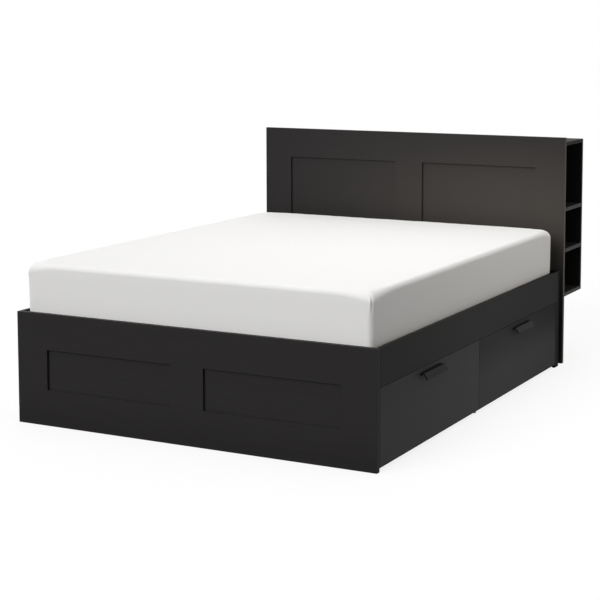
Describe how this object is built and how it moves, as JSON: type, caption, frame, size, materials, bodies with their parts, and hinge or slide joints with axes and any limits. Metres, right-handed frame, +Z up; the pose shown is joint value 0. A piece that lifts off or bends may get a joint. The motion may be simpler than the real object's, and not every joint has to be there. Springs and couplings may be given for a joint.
{
  "type": "bookcase headboard bed",
  "caption": "Double bed with recessed end panels, drawers on castors under both sides, slatted base, mattress and a headboard holding a bookcase open at its ends.",
  "frame": {"origin": "on the floor, at the middle of the footprint", "axes": "+Y from the foot to the head, +Z up, +X to the right seen from the foot"},
  "size_m": [1.7178, 2.385, 1.11],
  "materials": {
    "black_brown_foil": "satin",
    "bare_wood": "matte",
    "black_steel": "satin",
    "zinc_steel": "satin",
    "wheel_nylon": "matte",
    "mattress_cover": "matte",
    "webbing": "matte"
  },
  "bodies": {
    "bed": {"bookcase_back": "black_brown_foil", "bookcase_bottom": "black_brown_foil", "bookcase_top": "black_brown_foil", "bookcase_upright_left": "black_brown_foil", "bookcase_upright_right": "black_brown_foil", "centre_partition": "black_brown_foil", "corner_brackets": "black_steel", "foot_panel": "black_brown_foil", "head_fillers": "black_brown_foil", "head_panel": "black_brown_foil", "headboard_bolts": "zinc_steel", "headboard_front": "black_brown_foil", "headboard_spacers": "bare_wood", "mattress": "mattress_cover", "mid_beam": "bare_wood", "mid_beam_hangers": "black_steel", "shelves_left": "black_brown_foil", "shelves_right": "black_brown_foil", "side_rail_left": "black_brown_foil", "side_rail_right": "black_brown_foil", "slat_ledges": "bare_wood", "slat_straps": "webbing", "slats_left": "bare_wood", "slats_right": "bare_wood"},
    "foot_right_drawer": {"foot_right_drawer_back": "black_brown_foil", "foot_right_drawer_bottom": "black_brown_foil", "foot_right_drawer_castor_forks": "zinc_steel", "foot_right_drawer_foot_side": "black_brown_foil", "foot_right_drawer_front": "black_brown_foil", "foot_right_drawer_handle": "black_steel", "foot_right_drawer_head_side": "black_brown_foil"},
    "foot_right_outer_wheels": {"foot_right_drawer_outer_wheels": "wheel_nylon"},
    "foot_right_inner_wheels": {"foot_right_drawer_inner_wheels": "wheel_nylon"},
    "foot_left_drawer": {"foot_left_drawer_back": "black_brown_foil", "foot_left_drawer_bottom": "black_brown_foil", "foot_left_drawer_castor_forks": "zinc_steel", "foot_left_drawer_foot_side": "black_brown_foil", "foot_left_drawer_front": "black_brown_foil", "foot_left_drawer_handle": "black_steel", "foot_left_drawer_head_side": "black_brown_foil"},
    "foot_left_outer_wheels": {"foot_left_drawer_outer_wheels": "wheel_nylon"},
    "foot_left_inner_wheels": {"foot_left_drawer_inner_wheels": "wheel_nylon"},
    "head_right_drawer": {"head_right_drawer_back": "black_brown_foil", "head_right_drawer_bottom": "black_brown_foil", "head_right_drawer_castor_forks": "zinc_steel", "head_right_drawer_foot_side": "black_brown_foil", "head_right_drawer_front": "black_brown_foil", "head_right_drawer_handle": "black_steel", "head_right_drawer_head_side": "black_brown_foil"},
    "head_right_outer_wheels": {"head_right_drawer_outer_wheels": "wheel_nylon"},
    "head_right_inner_wheels": {"head_right_drawer_inner_wheels": "wheel_nylon"},
    "head_left_drawer": {"head_left_drawer_back": "black_brown_foil", "head_left_drawer_bottom": "black_brown_foil", "head_left_drawer_castor_forks": "zinc_steel", "head_left_drawer_foot_side": "black_brown_foil", "head_left_drawer_front": "black_brown_foil", "head_left_drawer_handle": "black_steel", "head_left_drawer_head_side": "black_brown_foil"},
    "head_left_outer_wheels": {"head_left_drawer_outer_wheels": "wheel_nylon"},
    "head_left_inner_wheels": {"head_left_drawer_inner_wheels": "wheel_nylon"}
  },
  "joints": [
    {"name": "foot_right_drawer_slide", "type": "slide", "parent": "bed", "child": "foot_right_drawer", "axis": [1, 0, 0], "range_m": [0, 0.6]},
    {"name": "foot_right_outer_roll", "type": "hinge", "parent": "foot_right_drawer", "child": "foot_right_outer_wheels", "pos_m": [0.754, -0.67575, 0.025], "axis": [0, 1, 0], "continuous": true},
    {"name": "foot_right_inner_roll", "type": "hinge", "parent": "foot_right_drawer", "child": "foot_right_inner_wheels", "pos_m": [0.174, -0.67575, 0.025], "axis": [0, 1, 0], "continuous": true},
    {"name": "foot_left_drawer_slide", "type": "slide", "parent": "bed", "child": "foot_left_drawer", "axis": [-1, 0, 0], "range_m": [0, 0.6]},
    {"name": "foot_left_outer_roll", "type": "hinge", "parent": "foot_left_drawer", "child": "foot_left_outer_wheels", "pos_m": [-0.754, -0.67575, 0.025], "axis": [0, -1, 0], "continuous": true},
    {"name": "foot_left_inner_roll", "type": "hinge", "parent": "foot_left_drawer", "child": "foot_left_inner_wheels", "pos_m": [-0.174, -0.67575, 0.025], "axis": [0, -1, 0], "continuous": true},
    {"name": "head_right_drawer_slide", "type": "slide", "parent": "bed", "child": "head_right_drawer", "axis": [1, 0, 0], "range_m": [0, 0.6]},
    {"name": "head_right_outer_roll", "type": "hinge", "parent": "head_right_drawer", "child": "head_right_outer_wheels", "pos_m": [0.754, 0.31275, 0.025], "axis": [0, 1, 0], "continuous": true},
    {"name": "head_right_inner_roll", "type": "hinge", "parent": "head_right_drawer", "child": "head_right_inner_wheels", "pos_m": [0.174, 0.31275, 0.025], "axis": [0, 1, 0], "continuous": true},
    {"name": "head_left_drawer_slide", "type": "slide", "parent": "bed", "child": "head_left_drawer", "axis": [-1, 0, 0], "range_m": [0, 0.6]},
    {"name": "head_left_outer_roll", "type": "hinge", "parent": "head_left_drawer", "child": "head_left_outer_wheels", "pos_m": [-0.754, 0.31275, 0.025], "axis": [0, -1, 0], "continuous": true},
    {"name": "head_left_inner_roll", "type": "hinge", "parent": "head_left_drawer", "child": "head_left_inner_wheels", "pos_m": [-0.174, 0.31275, 0.025], "axis": [0, -1, 0], "continuous": true}
  ],
  "couplings": [
    {"joint": "foot_right_outer_roll", "follows": "foot_right_drawer_slide", "rad_per_m": 40},
    {"joint": "foot_right_inner_roll", "follows": "foot_right_drawer_slide", "rad_per_m": 40},
    {"joint": "foot_left_outer_roll", "follows": "foot_left_drawer_slide", "rad_per_m": 40},
    {"joint": "foot_left_inner_roll", "follows": "foot_left_drawer_slide", "rad_per_m": 40},
    {"joint": "head_right_outer_roll", "follows": "head_right_drawer_slide", "rad_per_m": 40},
    {"joint": "head_right_inner_roll", "follows": "head_right_drawer_slide", "rad_per_m": 40},
    {"joint": "head_left_outer_roll", "follows": "head_left_drawer_slide", "rad_per_m": 40},
    {"joint": "head_left_inner_roll", "follows": "head_left_drawer_slide", "rad_per_m": 40}
  ]
}
